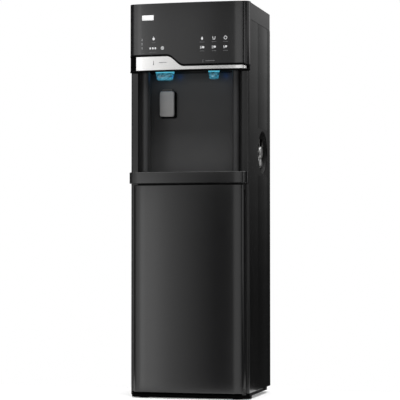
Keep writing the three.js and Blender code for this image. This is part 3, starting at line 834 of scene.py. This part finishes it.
def louvre():
    """The shallow cover at the upper rear: four slots between two solid ends."""
    low, high = REAR_COVER_LOW, REAR_COVER_HIGH
    slots, first_slot, pitch, slot_height = 4, 930, 14, 5
    end, lap = 32, 2
    edges = [low.z]
    for i in range(slots):
        edges += [first_slot + pitch * i, first_slot + pitch * i + slot_height]
    edges.append(high.z)
    middle = (low.x + end - lap, high.x - end + lap)
    shell = []
    for bar_edges in zip(edges[::2], edges[1::2]):
        shell.append(soft_box(middle, (low.y, high.y), bar_edges, radius=0.5, edge=0.4))
    for side in ((low.x, low.x + end), (high.x - end, high.x)):
        shell.append(soft_box(side, (low.y, high.y), (low.z, high.z), radius=1.5, edge=0.9))
    piece("rear_louvre", *merge(*shell), DEEP, slot="black_matt_plastic",
          replaces=["upper_rear_cover"], sharp=40)


def rear_screws():
    surface = REAR_HIGH.y
    radius, sunk, proud = 3.6, 0.4, 1.7
    screws = []
    for x in (-148, 148):
        for z in (40, 300, 560, 820):
            screw = rod("y", (x, z), radius, surface - sunk, surface + proud, edge=0.9, sides=20)
            screws.append(screw)
    piece("rear_screws", *merge(*screws), STAINLESS, slot="stainless")


# ---- Stage, in metres ----
def light(name, location, target, width, tall, energy):
    """A rectangular soft light that faces a target."""
    data = bpy.data.lights.new(name, "AREA")
    data.energy = energy
    data.shape = "RECTANGLE"
    data.size = width
    data.size_y = tall
    lamp = bpy.data.objects.new(name, data)
    lamp.location = location
    direction = Vector(target) - Vector(location)
    lamp.rotation_euler = direction.to_track_quat("-Z", "Y").to_euler()
    bpy.context.scene.collection.objects.link(lamp)


def glow(name, location):
    """A small blue light at a point in millimetres."""
    data = bpy.data.lights.new(name, "POINT")
    data.energy = 0.0012
    data.color = (0.02, 0.22, 1.0)
    data.shadow_soft_size = 0.006
    lamp = bpy.data.objects.new(name, data)
    lamp.location = Vector(location) * MM
    bpy.context.scene.collection.objects.link(lamp)


def upright_panel(name, azimuths, distance, heights, brightness):
    """An upright soft panel over a range of azimuths (0 is the front, 90 the right)."""
    turn = math.radians(sum(azimuths) / 2)
    width = 2 * distance * math.tan(math.radians(azimuths[1] - azimuths[0]) / 2)
    middle, tall = sum(heights) / 2, heights[1] - heights[0]
    place = (distance * math.sin(turn), -distance * math.cos(turn), middle)
    light(name, place, (0, 0, middle), width, tall, brightness * math.pi * width * tall)


def pale_floor():
    half, front, back = 0.8, -0.4, 0.17
    mesh = bpy.data.meshes.new("floor")
    corners = [(-half, front, 0), (half, front, 0), (half, back, 0), (-half, back, 0)]
    mesh.from_pydata(corners, [], [(0, 1, 2, 3)])
    floor = bpy.data.objects.new("floor", mesh)
    bpy.context.scene.collection.objects.link(floor)
    mesh.materials.append(finish("pale_floor", (0.93, 0.93, 0.93), 0.8, 60, 0.02,
                                 shade=0.01, emission=(1, 1, 1), glow=0.25))


def studio_world():
    """White to the camera, and nearly dark to everything that the soft panels light."""
    world = bpy.data.worlds.new("studio")
    bpy.context.scene.world = world
    world.use_nodes = True
    tree = world.node_tree
    background = tree.nodes["Background"]
    background.inputs["Color"].default_value = (1, 1, 1, 1)
    path = tree.nodes.new("ShaderNodeLightPath")
    strength = tree.nodes.new("ShaderNodeMapRange")
    strength.inputs["To Min"].default_value = 0.02
    strength.inputs["To Max"].default_value = 1.0
    tree.links.new(path.outputs["Is Camera Ray"], strength.inputs["Value"])
    tree.links.new(strength.outputs["Result"], background.inputs["Strength"])


def front_panels():
    """Columns of soft panels, which the glossy front mirrors as its bright and dark bands."""
    distance = 3.2
    levels = [(-0.4, 0.72), (0.72, 1.12), (1.12, 1.55)]
    # Azimuth range, and brightness low, at niche height and high.
    columns = [
        ((-39, -31), (1.2, 0.8, 2.0)),
        ((-31, -26.5), (2.5, 1.0, 2.8)),
        ((-26.5, -23.5), (2.35, 1.0, 2.1)),
        ((-23.5, -20.5), (2.0, 0.95, 1.5)),
        ((-20.5, -18), (1.25, 0.9, 1.25)),
        ((-18, -15.5), (0.93, 0.85, 1.2)),
        ((-15.5, -13), (0.68, 0.8, 1.15)),
        ((-13, -10.5), (0.45, 0.75, 1.05)),
        ((-10.5, -8), (0.24, 0.7, 0.85)),
        ((-8, -3.6), (0.03, 0.6, 0.55)),
        ((-2.4, 8), (1.2, 1.2, 1.7)),
    ]
    for i, (azimuths, column) in enumerate(columns):
        for heights, brightness in zip(levels, column):
            upright_panel(f"front_{i}_{heights[0]}", azimuths, distance, heights, brightness)
    upright_panel("front_right", (15, 32), distance, (0.2, 1.5), 1.6)


def right_panels():
    """Panels for the right corner, the top cover and the upper part of the right side."""
    upright_panel("corner_high", (36, 62), 2.6, (1.1, 1.32), 0.8)
    upright_panel("corner_low", (40, 60), 2.6, (0.0, 1.1), 0.7)
    upright_panel("right_high", (64, 148), 2.4, (1.2, 1.8), 0.8)


def side_strips():
    """Strips that the right side mirrors; they dim towards the floor."""
    strips, lowest, tall = 14, 0.1, 0.115
    brightest, full_height, fall = 0.26, 1.42, 2.4
    for i in range(strips):
        low = lowest + tall * i
        brightness = brightest * min((low + tall / 2) / full_height, 1) ** fall
        upright_panel(f"side_{i}", (150, 178), 2.6, (low, low + tall), brightness)


def fills():
    """Lights for the back, the left side and the top."""
    upright_panel("rear_right", (118, 140), 3.2, (-0.8, 1.6), 0.7)
    upright_panel("rear_fill", (186, 216), 3.4, (-0.3, 1.7), 0.9)
    upright_panel("left_fill", (-60, -42), 3.2, (-0.8, 1.5), 0.6)
    upright_panel("side_fill", (-104, -76), 3.2, (-0.2, 1.5), 0.2)
    light("top_softbox", (0.1, -0.2, 3.0), (0, -0.2, 0), 2.6, 2.6, 150)


def outlet_glows():
    """Blue tints on the niche's wall beside each outlet and on the lips at its sides."""
    for name, lip_x in (("hot", -108), ("cold", 108)):
        low, high = box_mm(f"{name}_light_guide")
        glow(f"{name}_glow", (high.x + 9, LINER_HIGH.y - 9, low.z - 7))
        glow(f"{name}_lip_glow", (lip_x, -92, low.z - 14))


def stage():
    pale_floor()
    studio_world()
    front_panels()
    right_panels()
    side_strips()
    fills()
    outlet_glows()


def camera():
    """A long lens from a little to the right, at about two fifths of the object's height."""
    data = bpy.data.cameras.new("camera")
    data.lens = 152.24
    data.sensor_width = 36
    view = bpy.data.objects.new("camera", data)
    view.location = (1.1172, -4.4667, 0.3992)
    view.rotation_euler = (math.radians(91.615), 0, math.radians(14.066))
    bpy.context.scene.collection.objects.link(view)
    bpy.context.scene.camera = view
    bpy.context.scene.view_settings.view_transform = "Standard"


dress_carried_nodes()
header()
top_cover()
name_plate()
icons()
outlets()
niche()
paddle()
drip_tray()
door()
base()
side_panel()
fan_rotor()
rear()
stage()
camera()
